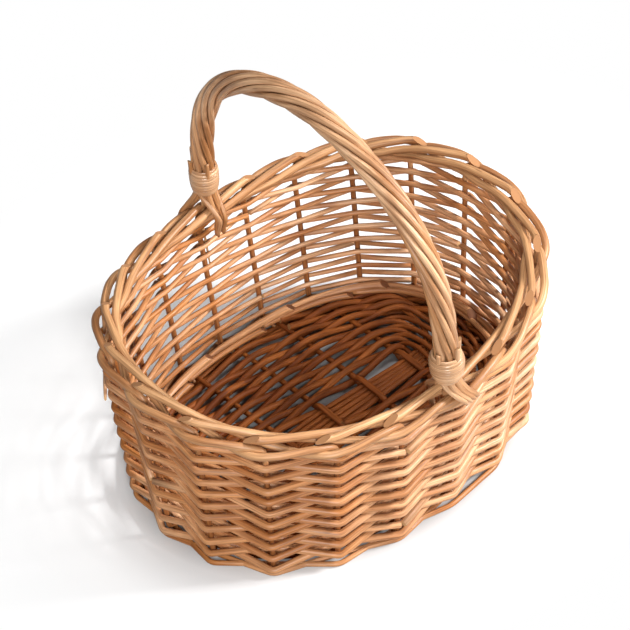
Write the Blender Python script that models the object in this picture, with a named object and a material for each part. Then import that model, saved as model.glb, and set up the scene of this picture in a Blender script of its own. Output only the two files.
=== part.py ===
# Oval willow foraging basket with a roped cross handle
# Origin at the middle of the underside, +X along the long axis, +Z up, metres.
# The handle spans the short axis and is fixed, so nothing moves.

import math

import bmesh
import bpy
import numpy as np
from mathutils import Vector

# Driving sizes of the wall and its ovals
WALL_BASE_HALF_LENGTH = 0.1910
WALL_BASE_HALF_WIDTH = 0.1440
BORDER_HALF_LENGTH = 0.1990
BORDER_HALF_WIDTH = 0.1605
BORDER_HEIGHT = 0.1655
RIM_END_RISE = 0.0190
OVAL_POWER = 2.3

# Driving sizes of the rods
STAKE_RADIUS = 0.0027
BORDER_ROD_RADIUS = 0.0033
WEAVER_RADIUS = 0.0032
STICK_RADIUS = 0.0029
SPOKE_RADIUS = 0.0023
BASE_WEAVER_HALF_WIDTH = 0.0023
BASE_WEAVER_HALF_HEIGHT = 0.0019
STRAND_RADIUS = 0.0030
BOW_RADIUS = 0.0050

# Driving sizes of the handle
HANDLE_HALF_SPAN = 0.1620
HANDLE_FOOT_HEIGHT = 0.1748
HANDLE_RISE = 0.2130
HANDLE_RISE_POWER = 0.58
HANDLE_SPAN_POWER = 1.145
BINDING_HEIGHT = 0.0310
BINDING_ABOVE_BORDER = 0.0235
BINDING_WALL = 0.0030
BINDING_BEAD = 0.0011
BINDING_TAPER = 0.0013

# Clearances between neighbours
FIT_GAP = 0.0003
GROUND_GAP = 0.0001

# Counts
STAKES = 20
WEAVER_RODS_PER_CHASE = 7
BAYS_PER_WEAVER_ROD = 28
STRANDS = 8
STRAND_TWISTS = 2.25
LONG_STICKS = 5
CROSS_STICKS = 5
BASE_TURNS_INNER = 2
BASE_TURNS_OUTER = 2
BINDING_BEADS = 6

# Positions that follow from the rods
STICK_HEIGHT = 0.0078
STAKE_BESIDE_HANDLE = 0.0130
FAN_DEPTH = 0.0435
SLATH_END = WALL_BASE_HALF_LENGTH - FAN_DEPTH
CROSS_STICK_SHARE = 0.34
CROSS_STICK_SPACING = CROSS_STICK_SHARE * SLATH_END
CROSS_STICK_HALF_WIDTH = 0.0034
CROSS_CHEEK = 0.0020
INNER_ROWS_BACK = 0.0300
INNER_ROWS_CLEAR = 0.0115
INNER_ROW_START = SLATH_END - INNER_ROWS_BACK
INNER_ROW_END = SLATH_END - INNER_ROWS_CLEAR
OUTER_ROW_DEPTH = 0.0205
FOOT_LENGTH = 0.0168
LOWEST_OUTER_WEAVER = WEAVER_RADIUS + GROUND_GAP
LOWEST_INNER_WEAVER = STICK_HEIGHT + STAKE_RADIUS + WEAVER_RADIUS + 2.0 * FIT_GAP
WEAVE_OFFSET = (STAKE_RADIUS + WEAVER_RADIUS + FIT_GAP) * 1.075
HIGHEST_WEAVER = BORDER_HEIGHT - 2.10 * 2.0 * BORDER_ROD_RADIUS
STRAND_RING = BOW_RADIUS + STRAND_RADIUS + 1.5 * FIT_GAP
BINDING_BORE = STRAND_RING + STRAND_RADIUS + 3.0 * FIT_GAP
BINDING_BOTTOM = BORDER_HEIGHT + BINDING_ABOVE_BORDER
BINDING_TOP = BINDING_BOTTOM + BINDING_HEIGHT
STAKE_LINE_SHARE = 0.35
CROWDING_SHARE = 0.08

# Run of a stake top through the border
# Columns: bays along the rim, rod diameters outward, rod diameters upward
BORDER_RUN_SHARES = (
    (0.00, 0.35, -0.60),
    (0.02, 0.36, -0.12),
    (0.08, 0.43, 0.17),
    (0.25, 0.74, 0.26),
    (0.55, 1.20, 0.10),
    (0.85, 1.48, -0.22),
    (1.15, 1.43, -0.64),
    (1.50, 0.35, -1.06),
    (1.80, -0.60, -0.84),
    (2.10, -1.08, -0.45),
    (2.50, -1.42, -0.05),
    (2.90, -1.44, 0.50),
    (3.30, -1.00, 0.99),
    (3.60, -0.56, 1.24),
    (3.85, -0.06, 1.34),
)

# Foot of a stake under the wall
# Columns: share of the foot length inward, stake radii above the base sticks,
# radius share
STAKE_FOOT_SHARES = (
    (1.00, 0.0, 0.50),
    (0.72, 0.0, 0.85),
    (0.24, 0.0, 0.88),
    (0.05, 0.4, 1.00),
    (0.00, 2.0, 1.00),
)

# Start of the fan of each long stick, in stick spacings back from the slath end
FAN_BACK_SHARES = (1.10, 0.30, 0.0, 0.30, 1.10)

# Tongue at each end of the bow
# Columns: share of the way to the stake, rod diameters outward and upward
# from the border middle, then half thickness and half width in bow radii
TONGUE_SHARES = (
    (0.45, -0.15, 1.95, 0.26, 0.40),
    (0.56, -0.29, 1.20, 0.17, 0.30),
    (0.60, -0.29, -0.90, 0.17, 0.29),
    (0.61, 0.33, -1.85, 0.16, 0.27),
    (0.61, 0.35, -4.00, 0.15, 0.26),
    (0.61, 0.35, -9.50, 0.09, 0.20),
)


def clear_scene():
    for old in list(bpy.data.objects):
        bpy.data.objects.remove(old, do_unlink=True)


def wood_material(name, colour, roughness):
    mat = bpy.data.materials.new(name)
    mat.use_nodes = True
    shader = mat.node_tree.nodes["Principled BSDF"]
    shader.inputs["Base Color"].default_value = (*colour, 1.0)
    shader.inputs["Roughness"].default_value = roughness
    return mat


def superellipse(angle, half_length, half_width):
    c = math.cos(angle)
    s = math.sin(angle)
    x = half_length * math.copysign(abs(c) ** (2.0 / OVAL_POWER), c)
    y = half_width * math.copysign(abs(s) ** (2.0 / OVAL_POWER), s)
    return x, y


def rod_count_angles():
    """Angle of every place round the oval, counted in stakes a little closer at the far side."""
    steps = 7200
    mid_length = 0.5 * (WALL_BASE_HALF_LENGTH + BORDER_HALF_LENGTH)
    mid_width = 0.5 * (WALL_BASE_HALF_WIDTH + BORDER_HALF_WIDTH)
    angles = np.linspace(-0.5 * math.pi, 1.5 * math.pi, steps + 1)
    pts = np.array([superellipse(a, mid_length, mid_width) for a in angles])
    lengths = np.linalg.norm(np.diff(pts, axis=0), axis=1)
    run = np.concatenate([[0.0], np.cumsum(lengths)])
    turn = (run - STAKE_BESIDE_HANDLE) / run[-1]
    places = STAKES * (turn - CROWDING_SHARE * np.sin(2.0 * math.pi * turn) / (2.0 * math.pi))
    return places, angles, run


PLACES, ANGLES, RUNS = rod_count_angles()
BAY = RUNS[-1] / STAKES


def angle_at(place):
    turns = math.floor((place - PLACES[0]) / STAKES)
    local = place - turns * STAKES
    return float(np.interp(local, PLACES, ANGLES)) + turns * 2.0 * math.pi


def place_along(distance):
    """Place at a short distance along the wall from the middle of the near side."""
    place = float(np.interp(distance % RUNS[-1], RUNS, PLACES))
    return place if distance >= 0.0 else place - STAKES


def oval_frame(place, half_length, half_width):
    """Point on an oval with its outward and forward directions."""
    step = 1.0e-3
    angle = angle_at(place)
    here = superellipse(angle, half_length, half_width)
    ahead = superellipse(angle_at(place + step), half_length, half_width)
    behind = superellipse(angle_at(place - step), half_length, half_width)
    forward = Vector((ahead[0] - behind[0], ahead[1] - behind[1], 0.0)).normalized()
    outward = Vector((forward.y, -forward.x, 0.0))
    return Vector((here[0], here[1], 0.0)), outward, forward


def end_rise(point):
    return RIM_END_RISE * min(1.0, abs(point.x) / BORDER_HALF_LENGTH) ** 2


def border_point(place, out, up):
    here, outward, forward = oval_frame(place, BORDER_HALF_LENGTH, BORDER_HALF_WIDTH)
    spot = here + outward * out
    spot.z = BORDER_HEIGHT + end_rise(here) + up
    return spot


def wall_point(place, out, height):
    """Point at an offset from the line of stakes, at a height at mid length."""
    share = height / BORDER_HEIGHT
    stake_out = STAKE_LINE_SHARE * 2.0 * BORDER_ROD_RADIUS
    half_length = WALL_BASE_HALF_LENGTH * (1.0 - share) + (BORDER_HALF_LENGTH + stake_out) * share
    half_width = WALL_BASE_HALF_WIDTH * (1.0 - share) + (BORDER_HALF_WIDTH + stake_out) * share
    here, outward, forward = oval_frame(place, half_length, half_width)
    spot = here + outward * out
    spot.z = height + end_rise(here) * share
    return spot


def link_mesh(name, bm, mat, smooth):
    bmesh.ops.recalc_face_normals(bm, faces=bm.faces)
    mesh = bpy.data.meshes.new(name)
    bm.to_mesh(mesh)
    bm.free()
    if smooth:
        for poly in mesh.polygons:
            poly.use_smooth = len(poly.vertices) == 4
    mesh.materials.append(mat)
    obj = bpy.data.objects.new(name, mesh)
    bpy.context.collection.objects.link(obj)
    return obj


def rod(name, points, sizes, mat, sides=4, lead=None):
    """Closed rod along points; sizes hold half width and half height pairs."""
    bm = bmesh.new()
    rings = []
    count = len(points)
    side = None
    for i, here in enumerate(points):
        before = points[max(i - 1, 0)]
        after = points[min(i + 1, count - 1)]
        way_in = (here - before).normalized() if i else (after - here).normalized()
        way_out = (after - here).normalized() if i < count - 1 else way_in
        tangent = (way_in + way_out).normalized()
        if side is None:
            side = lead if lead is not None else Vector((0.0, 0.0, 1.0)).cross(tangent)
        side = (side - tangent * side.dot(tangent)).normalized()
        up = tangent.cross(side)
        half_width, half_height = sizes[i]
        ring = []
        for k in range(sides):
            turn = 2.0 * math.pi * k / sides
            offset = side * (half_width * math.cos(turn)) + up * (half_height * math.sin(turn))
            ring.append(bm.verts.new(here + offset))
        rings.append(ring)
    for a, b in zip(rings[:-1], rings[1:]):
        for k in range(sides):
            bm.faces.new((a[k], a[(k + 1) % sides], b[(k + 1) % sides], b[k]))
    bm.faces.new(list(reversed(rings[0])))
    bm.faces.new(rings[-1])
    return link_mesh(name, bm, mat, True)


# Base sticks
# The long sticks pass through slits in the cross sticks and fan out at both
# ends; the cross sticks are flat underneath where the basket stands.

SIDE_REACH = (CROSS_STICKS - 1) // 2
HALF_ROUND = STAKES // 2
SLIT_HALF_HEIGHT = STICK_RADIUS + FIT_GAP
STICK_PITCH = 2.0 * STICK_RADIUS + FIT_GAP
SLIT_HALF_WIDTH = 0.5 * (LONG_STICKS - 1) * STICK_PITCH + STICK_RADIUS + FIT_GAP
CHEEK_HALF_LENGTH = SLIT_HALF_WIDTH + SPOKE_RADIUS
CROSS_SHOULDER = CHEEK_HALF_LENGTH + 2.0 * SPOKE_RADIUS


def long_stick_offset(j):
    return (j - 0.5 * (LONG_STICKS - 1)) * STICK_PITCH


def fan_start(j):
    return SLATH_END - FAN_BACK_SHARES[j] * STICK_PITCH


def stick_start(place):
    """Where the stick that runs to a stake leaves the middle of the base."""
    index = place % STAKES
    signed = index if index <= HALF_ROUND + SIDE_REACH else index - STAKES
    if abs(signed) <= SIDE_REACH:
        return Vector((signed * CROSS_STICK_SPACING, -CROSS_SHOULDER, STICK_HEIGHT))
    if abs(signed - HALF_ROUND) <= SIDE_REACH:
        x = (HALF_ROUND - signed) * CROSS_STICK_SPACING
        return Vector((x, CROSS_SHOULDER, STICK_HEIGHT))
    if 0 < signed < HALF_ROUND:
        j = signed - SIDE_REACH - 1
        return Vector((fan_start(j), long_stick_offset(j), STICK_HEIGHT))
    j = LONG_STICKS - 1 - (index - HALF_ROUND - SIDE_REACH - 1)
    return Vector((-fan_start(j), long_stick_offset(j), STICK_HEIGHT))


def stick_run(place):
    """Start and end of a base stick, with the stake foot laid beside it."""
    start = stick_start(place)
    foot = wall_point(place, 0.0, STICK_HEIGHT)
    foot.z = STICK_HEIGHT
    apart = SPOKE_RADIUS + STAKE_RADIUS + FIT_GAP
    reach = start - foot
    bearing = math.atan2(reach.y, reach.x) - math.asin(apart / reach.length)
    inward = Vector((math.cos(bearing), math.sin(bearing), 0.0))
    beside = Vector((-inward.y, inward.x, 0.0))
    here, outward, forward = oval_frame(place, WALL_BASE_HALF_LENGTH, WALL_BASE_HALF_WIDTH)
    squareness = -inward.dot(outward)
    lean = beside.dot(outward)
    inset = WEAVE_OFFSET + WEAVER_RADIUS + 4.0 * FIT_GAP + SPOKE_RADIUS * math.sqrt(1.0 - squareness ** 2)
    end = foot + beside * apart + inward * ((inset + lean * apart) / squareness)
    return start, end, foot, inward, beside


def build_long_sticks(mat):
    first = SIDE_REACH + 1
    for j in range(LONG_STICKS):
        y = long_stick_offset(j)
        right = stick_run(first + j)[1]
        left = stick_run(first + HALF_ROUND + LONG_STICKS - 1 - j)[1]
        points = [
            left,
            Vector((-fan_start(j), y, STICK_HEIGHT)),
            Vector((fan_start(j), y, STICK_HEIGHT)),
            right,
        ]
        sizes = [
            (SPOKE_RADIUS, SPOKE_RADIUS),
            (STICK_RADIUS, STICK_RADIUS),
            (STICK_RADIUS, STICK_RADIUS),
            (SPOKE_RADIUS, SPOKE_RADIUS),
        ]
        rod("base_long_stick_%d" % (j + 1), points, sizes, mat, sides=6, lead=Vector((0.0, 1.0, 0.0)))


def build_cross_sticks(mat):
    for i in range(CROSS_STICKS):
        step = i - SIDE_REACH
        x = step * CROSS_STICK_SPACING
        near = stick_run(step)[1]
        far = stick_run(HALF_ROUND - step)[1]
        bm = bmesh.new()
        wide = CROSS_STICK_HALF_WIDTH
        top = STICK_HEIGHT + SLIT_HALF_HEIGHT + CROSS_CHEEK
        low = STICK_HEIGHT - SPOKE_RADIUS
        high = STICK_HEIGHT + SPOKE_RADIUS
        slit_low = STICK_HEIGHT - SLIT_HALF_HEIGHT
        slit_high = STICK_HEIGHT + SLIT_HALF_HEIGHT

        def section(along, across, half, bottom, ceiling):
            return [
                bm.verts.new((along - half, across, bottom)),
                bm.verts.new((along + half, across, bottom)),
                bm.verts.new((along + half, across, ceiling)),
                bm.verts.new((along - half, across, ceiling)),
            ]

        stations = [
            section(near.x, near.y, SPOKE_RADIUS, low, high),
            section(x, -CROSS_SHOULDER, SPOKE_RADIUS, low, high),
            section(x, -CHEEK_HALF_LENGTH, wide, 0.0, top),
            section(x, CHEEK_HALF_LENGTH, wide, 0.0, top),
            section(x, CROSS_SHOULDER, SPOKE_RADIUS, low, high),
            section(far.x, far.y, SPOKE_RADIUS, low, high),
        ]
        slit = []
        for side_x in (x - wide, x + wide):
            slit.append([
                bm.verts.new((side_x, -SLIT_HALF_WIDTH, slit_low)),
                bm.verts.new((side_x, SLIT_HALF_WIDTH, slit_low)),
                bm.verts.new((side_x, SLIT_HALF_WIDTH, slit_high)),
                bm.verts.new((side_x, -SLIT_HALF_WIDTH, slit_high)),
            ])
        for n, (a, b) in enumerate(zip(stations[:-1], stations[1:])):
            for k in range(4):
                if n == 2 and k in (1, 3):
                    continue
                bm.faces.new((a[k], a[(k + 1) % 4], b[(k + 1) % 4], b[k]))
        bm.faces.new(list(reversed(stations[0])))
        bm.faces.new(stations[-1])
        # The slit opens on both sides of the cheeks
        a = stations[2]
        b = stations[3]
        for hole, corners in ((slit[0], (a[0], b[0], b[3], a[3])), (slit[1], (a[1], b[1], b[2], a[2]))):
            for k in range(4):
                n = (k + 1) % 4
                bm.faces.new((corners[k], corners[n], hole[n], hole[k]))
        for k in range(4):
            n = (k + 1) % 4
            bm.faces.new((slit[0][k], slit[0][n], slit[1][n], slit[1][k]))
        link_mesh("base_cross_stick_%d" % (i + 1), bm, mat, False)


# Base weave
# Two rods chase each other round the sticks. The inner turns take the long
# sticks of each end as one group, the outer turns take every stick with the
# stake foot beside it.

def corner_turn(group, side):
    """Where an inner turn rounds the corner between a group and a side stick."""
    x = group.x + 0.20 * (side.x - group.x)
    y = side.y + 0.25 * (group.y - side.y)
    return Vector((x, y, STICK_HEIGHT))


def build_base_weavers(mat):
    lift = STICK_HEIGHT - BASE_WEAVER_HALF_HEIGHT - GROUND_GAP
    inner_total = BASE_TURNS_INNER * STAKES
    outer_total = BASE_TURNS_OUTER * STAKES
    ends = (SIDE_REACH + 1, HALF_ROUND - SIDE_REACH - 1)
    for name, sign, start in (("base_weaver_a", 1.0, 0), ("base_weaver_b", -1.0, HALF_ROUND)):
        points = []
        group = None
        for n in range(inner_total):
            place = (start + n) % STAKES
            share = n / inner_total
            begin, end, foot, inward, beside = stick_run(place)
            local = place % HALF_ROUND
            if local in ends:
                x = INNER_ROW_START + (INNER_ROW_END - INNER_ROW_START) * share
                reach = long_stick_offset(LONG_STICKS - 1)
                right = place < HALF_ROUND
                lower = (local == ends[0]) == right
                spot = Vector((x if right else -x, -reach if lower else reach, 0.0))
                if local == ends[0]:
                    points.append(corner_turn(spot, points[-1]))
                else:
                    group = spot
            elif ends[0] < local < ends[1]:
                continue
            else:
                spot = begin.lerp(end, 0.10 + 0.33 * share)
                if group is not None:
                    points.append(corner_turn(group, spot))
                    group = None
            spot.z = STICK_HEIGHT + sign * lift
            points.append(spot)
            if local != ends[0]:
                sign = -sign
        for n in range(outer_total):
            place = (start + n) % STAKES
            share = n / outer_total
            begin, end, foot, inward, beside = stick_run(place)
            depth = max(0.47 * (end - begin).length, OUTER_ROW_DEPTH)
            from_end = 4.0 * FIT_GAP + depth * (1.0 - share)
            spot = end - (end - begin).normalized() * from_end
            if (spot - foot).dot(inward) < FOOT_LENGTH:
                spot = spot - beside * (0.5 * (SPOKE_RADIUS + STAKE_RADIUS + FIT_GAP))
            spot.z = STICK_HEIGHT + sign * lift
            points.append(spot)
            sign = -sign
        sizes = [(BASE_WEAVER_HALF_WIDTH, BASE_WEAVER_HALF_HEIGHT)] * len(points)
        rod(name, points, sizes, mat, sides=4)


# Stakes
# Each stake is pushed in beside a base stick, turns up into the wall and bends
# over at the top to become one rod of the border.

def build_stakes(mat):
    diameter = 2.0 * BORDER_ROD_RADIUS
    for k in range(STAKES):
        points = []
        sizes = []
        start, end, foot, inward, beside = stick_run(k)
        for run, above, share in STAKE_FOOT_SHARES:
            height = STICK_HEIGHT + above * STAKE_RADIUS
            here = wall_point(k, 0.0, height) + inward * (run * FOOT_LENGTH)
            here.z = height
            points.append(here)
            sizes.append((STAKE_RADIUS * share, STAKE_RADIUS * share))
        for along, out, up in BORDER_RUN_SHARES:
            upright = along == 0.0
            if upright:
                points.append(wall_point(k, 0.0, BORDER_HEIGHT + up * diameter))
            else:
                points.append(border_point(k - along, out * diameter, up * diameter))
            radius = STAKE_RADIUS if upright else BORDER_ROD_RADIUS
            sizes.append((radius, radius))
        rod("stake_%02d" % (k + 1), points, sizes, mat, sides=5)


# Wall weave
# Two sets of rods chase each other round the stakes, in front of one stake and
# behind the next, so that every row alternates.

def build_wall_weave(mat):
    total = WEAVER_RODS_PER_CHASE * BAYS_PER_WEAVER_ROD
    trim = (0.5 * FIT_GAP + 0.34 * WEAVER_RADIUS) / BAY
    for chase, start, parity in (("a", 1, 0), ("b", 1 + STAKES // 2, 1)):
        for n in range(WEAVER_RODS_PER_CHASE):
            points = []
            for m in range(BAYS_PER_WEAVER_ROD + 1):
                step = n * BAYS_PER_WEAVER_ROD + m
                place = start + step
                share = step / total
                outside = (place + parity) % 2 == 0
                lowest = LOWEST_OUTER_WEAVER if outside else LOWEST_INNER_WEAVER
                height = lowest + (HIGHEST_WEAVER - lowest) * share
                out = WEAVE_OFFSET if outside else -WEAVE_OFFSET
                if m == 0:
                    place += trim
                if m == BAYS_PER_WEAVER_ROD:
                    place -= trim
                points.append(wall_point(place, out, height))
            sizes = [(WEAVER_RADIUS, WEAVER_RADIUS)] * len(points)
            rod("wall_weaver_%s%d" % (chase, n + 1), points, sizes, mat, sides=4)


# Handle
# A bow passes through the border at both ends, and eight strands are laid
# round it like a rope and held at each foot by a binding that flares upward.

def arch_points(count):
    fine = 2000
    raw = []
    for i in range(fine + 1):
        turn = math.pi * i / fine
        c = math.cos(turn)
        s = max(0.0, math.sin(turn))
        y = -HANDLE_HALF_SPAN * math.copysign(abs(c) ** HANDLE_SPAN_POWER, c)
        z = HANDLE_FOOT_HEIGHT + HANDLE_RISE * s ** HANDLE_RISE_POWER
        raw.append((y, z))
    raw = np.array([p for p in raw if p[1] >= BINDING_TOP])
    run = np.concatenate([[0.0], np.cumsum(np.linalg.norm(np.diff(raw, axis=0), axis=1))])
    spots = np.linspace(0.0, run[-1], count)
    ys = np.interp(spots, run, raw[:, 0])
    zs = np.interp(spots, run, raw[:, 1])
    return [Vector((0.0, float(y), float(z))) for y, z in zip(ys, zs)]


def turned(point):
    """The same point at the other foot, half a turn round the basket."""
    return Vector((-point.x, -point.y, point.z))


def near_foot_point(across, out, height):
    """Point at the near foot, across along +X and out from the border middle."""
    return Vector((across, -(BORDER_HALF_WIDTH + out), height))


def build_bow(mat):
    diameter = 2.0 * BORDER_ROD_RADIUS
    arch = arch_points(30)
    foot = []
    foot_sizes = []
    for toward, out, up, thick, wide in TONGUE_SHARES:
        across = toward * STAKE_BESIDE_HANDLE
        height = BORDER_HEIGHT + up * diameter
        if up < -1.5:
            spot = wall_point(0.0, 0.0, height)
            spot.x = across
        else:
            spot = near_foot_point(across, out * diameter, height)
        foot.append(spot)
        foot_sizes.append((thick * BOW_RADIUS, wide * BOW_RADIUS))
    foot.reverse()
    foot_sizes.reverse()
    socket = Vector((0.0, -HANDLE_HALF_SPAN, BINDING_BOTTOM))
    points = foot + [socket] + arch + [turned(socket)] + [turned(p) for p in reversed(foot)]
    middle = [(BOW_RADIUS, BOW_RADIUS)] * (len(arch) + 2)
    sizes = foot_sizes + middle + list(reversed(foot_sizes))
    rod("handle_bow", points, sizes, mat, sides=8, lead=Vector((0.0, -1.0, 0.0)))


def foot_run(number, ring_angle):
    """Lower end of one strand at the near foot, from its tip up to the ring."""
    outer = math.cos(ring_angle) > 0.0
    ring_across = STRAND_RING * math.sin(ring_angle)
    row = 1.5 if abs(math.sin(ring_angle)) > 0.7 else 0.5
    across = math.copysign(row * (2.0 * STRAND_RADIUS + 3.0 * FIT_GAP), ring_across)
    diameter = 2.0 * BORDER_ROD_RADIUS
    border_reach = 1.46 * diameter + BORDER_ROD_RADIUS + STRAND_RADIUS + FIT_GAP
    wall_reach = WEAVE_OFFSET + WEAVER_RADIUS + STRAND_RADIUS + FIT_GAP
    sign = 1.0 if outer else -1.0
    tip_drop = 4.0 * diameter if outer else 6.2 * diameter
    shoulder_up = 0.6 * diameter if outer else 1.0 * diameter
    place = place_along(across)
    tip = wall_point(place, sign * wall_reach, BORDER_HEIGHT - tip_drop)
    beside = wall_point(place, sign * wall_reach, BORDER_HEIGHT - 2.6 * diameter)
    low = border_point(place, sign * border_reach, -1.2 * diameter)
    high = border_point(place, sign * border_reach, shoulder_up)
    ring_low = Vector((ring_across, -HANDLE_HALF_SPAN - STRAND_RING * math.cos(ring_angle), BINDING_BOTTOM))
    return [tip, beside, low, high, ring_low]


def build_strands(mat):
    count = 41
    arch = arch_points(count)
    for i in range(STRANDS):
        start = 2.0 * math.pi * (i + 0.5) / STRANDS
        helix = []
        for n, here in enumerate(arch):
            before = arch[max(n - 1, 0)]
            after = arch[min(n + 1, count - 1)]
            tangent = (after - before).normalized()
            across = Vector((1.0, 0.0, 0.0))
            outward = across.cross(tangent)
            share = n / (count - 1)
            angle = start - 2.0 * math.pi * STRAND_TWISTS * share
            helix.append(here + (outward * math.cos(angle) + across * math.sin(angle)) * STRAND_RING)
        end_angle = start - 2.0 * math.pi * STRAND_TWISTS
        near = foot_run(i, start)
        far = [turned(p) for p in foot_run(i, -end_angle)]
        points = near + helix + list(reversed(far))
        sizes = [(STRAND_RADIUS, STRAND_RADIUS)] * len(points)
        sizes[0] = (0.6 * STRAND_RADIUS, 0.6 * STRAND_RADIUS)
        sizes[-1] = sizes[0]
        rod("handle_strand_%d" % (i + 1), points, sizes, mat, sides=4, lead=Vector((1.0, 0.0, 0.0)))


def build_bindings(mat):
    sides = 16
    outer = BINDING_BORE + BINDING_WALL
    profile = [(BINDING_BORE, BINDING_BOTTOM)]
    for bead in range(BINDING_BEADS):
        low_share = bead / BINDING_BEADS
        mid_share = (bead + 0.5) / BINDING_BEADS
        low_radius = outer - BINDING_TAPER * (1.0 - low_share) ** 2
        mid_radius = outer - BINDING_TAPER * (1.0 - mid_share) ** 2
        profile.append((low_radius - 0.5 * BINDING_BEAD, BINDING_BOTTOM + BINDING_HEIGHT * low_share))
        profile.append((mid_radius + 0.5 * BINDING_BEAD, BINDING_BOTTOM + BINDING_HEIGHT * mid_share))
    profile.append((outer - 0.5 * BINDING_BEAD, BINDING_TOP))
    profile.append((BINDING_BORE, BINDING_TOP))
    for name, side in (("near_binding", -1.0), ("far_binding", 1.0)):
        bm = bmesh.new()
        rings = []
        for radius, height in profile:
            ring = []
            for k in range(sides):
                turn = 2.0 * math.pi * (k + 0.5) / sides
                x = radius * math.cos(turn)
                y = side * HANDLE_HALF_SPAN + radius * math.sin(turn)
                ring.append(bm.verts.new((x, y, height)))
            rings.append(ring)
        total = len(rings)
        for n in range(total):
            a = rings[n]
            b = rings[(n + 1) % total]
            for k in range(sides):
                bm.faces.new((a[k], a[(k + 1) % sides], b[(k + 1) % sides], b[k]))
        link_mesh(name, bm, mat, True)


def main():
    clear_scene()
    peeled = wood_material("peeled_willow", (0.62, 0.40, 0.20), 0.55)
    dark = wood_material("base_willow", (0.40, 0.22, 0.10), 0.65)
    skein = wood_material("split_skein", (0.72, 0.53, 0.30), 0.45)
    build_long_sticks(dark)
    build_cross_sticks(dark)
    build_base_weavers(dark)
    build_stakes(peeled)
    build_wall_weave(peeled)
    build_bow(peeled)
    build_strands(peeled)
    build_bindings(skein)


main()
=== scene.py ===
import math
import random

import bmesh
import bpy
import numpy as np
from mathutils import Matrix, Vector


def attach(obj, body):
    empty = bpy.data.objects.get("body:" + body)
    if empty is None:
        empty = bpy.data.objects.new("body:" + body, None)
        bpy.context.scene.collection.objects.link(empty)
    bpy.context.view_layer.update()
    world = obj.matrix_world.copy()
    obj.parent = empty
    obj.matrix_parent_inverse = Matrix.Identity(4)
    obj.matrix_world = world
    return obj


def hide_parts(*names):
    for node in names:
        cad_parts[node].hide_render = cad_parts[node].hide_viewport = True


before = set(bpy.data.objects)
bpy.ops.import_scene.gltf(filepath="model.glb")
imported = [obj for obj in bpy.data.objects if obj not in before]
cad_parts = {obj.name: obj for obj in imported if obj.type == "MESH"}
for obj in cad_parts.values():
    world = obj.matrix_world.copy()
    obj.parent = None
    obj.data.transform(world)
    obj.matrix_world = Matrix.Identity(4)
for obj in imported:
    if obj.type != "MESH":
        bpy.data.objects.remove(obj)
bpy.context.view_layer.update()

# Base sticks
# Five long willow rods lie side by side through slits in five cross rods, and
# are fanned out at both ends. They are darker and redder than the wall, partly
# from their own willow and partly from painted shade for the inside of the basket.
STAKES = 20
WALL_FOOT = (0.1910, 0.1440)  # half length and half width of the wall, in metres
BORDER = (0.1990, 0.1605)
FULLNESS = 2.3  # a plain ellipse has 2
BESIDE_HANDLE = 0.0130  # from the handle's foot to the stake beside it
CROWDING = 0.08  # the far stakes stand closer by this share
OVAL_POINTS = 7201  # for measuring along the oval


def oval(angle, size):
    """Point on an oval a little fuller than an ellipse."""
    c = math.cos(angle)
    s = math.sin(angle)
    power = 2.0 / FULLNESS
    return (size[0] * math.copysign(abs(c) ** power, c),
            size[1] * math.copysign(abs(s) ** power, s))


def lengths_along(points):
    """Length from the start of a run to each of its points."""
    steps = np.linalg.norm(np.diff(points, axis=0), axis=1)
    return np.concatenate([[0.0], np.cumsum(steps)])


def stake_places():
    """Places round the oval, counted in stakes, with the angle and the length at each."""
    mid = (0.5 * (WALL_FOOT[0] + BORDER[0]), 0.5 * (WALL_FOOT[1] + BORDER[1]))
    angles = np.linspace(-0.5 * math.pi, 1.5 * math.pi, OVAL_POINTS)
    lengths = lengths_along(np.array([oval(a, mid) for a in angles]))
    turn = (lengths - BESIDE_HANDLE) / lengths[-1]
    crowded = turn - CROWDING * np.sin(math.tau * turn) / math.tau
    return STAKES * crowded, angles, lengths


PLACES, ANGLES, LENGTHS = stake_places()


def angle_at(place):
    """Angle of a place, which may lie more than once round."""
    turns = math.floor((place - PLACES[0]) / STAKES)
    return float(np.interp(place - turns * STAKES, PLACES, ANGLES)) + turns * math.tau


def oval_at(place, size, nearby=0.001):
    """Point on an oval at a place, and the outward direction there."""
    here = oval(angle_at(place), size)
    ahead = oval(angle_at(place + nearby), size)
    behind = oval(angle_at(place - nearby), size)
    forward = Vector((ahead[0] - behind[0], ahead[1] - behind[1], 0.0)).normalized()
    return Vector((here[0], here[1], 0.0)), Vector((forward.y, -forward.x, 0.0))


BORDER_HEIGHT = 0.1655
BORDER_ROD = 0.0066
END_RISE = 0.0190  # the border stands this much higher at both ends
TOP_WIDER = 0.35 * BORDER_ROD  # the wall's top stands this far outside the border's line


def end_rise(spot):
    """How much higher the border stands above a point of the basket than at the handle."""
    return END_RISE * min(1.0, abs(spot.x) / BORDER[0]) ** 2


def on_wall(place, out, height):
    """Point in the wall at a place and a height, moved out from the stakes' middle."""
    share = height / BORDER_HEIGHT
    size = (WALL_FOOT[0] * (1.0 - share) + (BORDER[0] + TOP_WIDER) * share,
            WALL_FOOT[1] * (1.0 - share) + (BORDER[1] + TOP_WIDER) * share)
    here, outward = oval_at(place, size)
    spot = here + outward * out
    spot.z = height + end_rise(here) * share
    return spot


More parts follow.
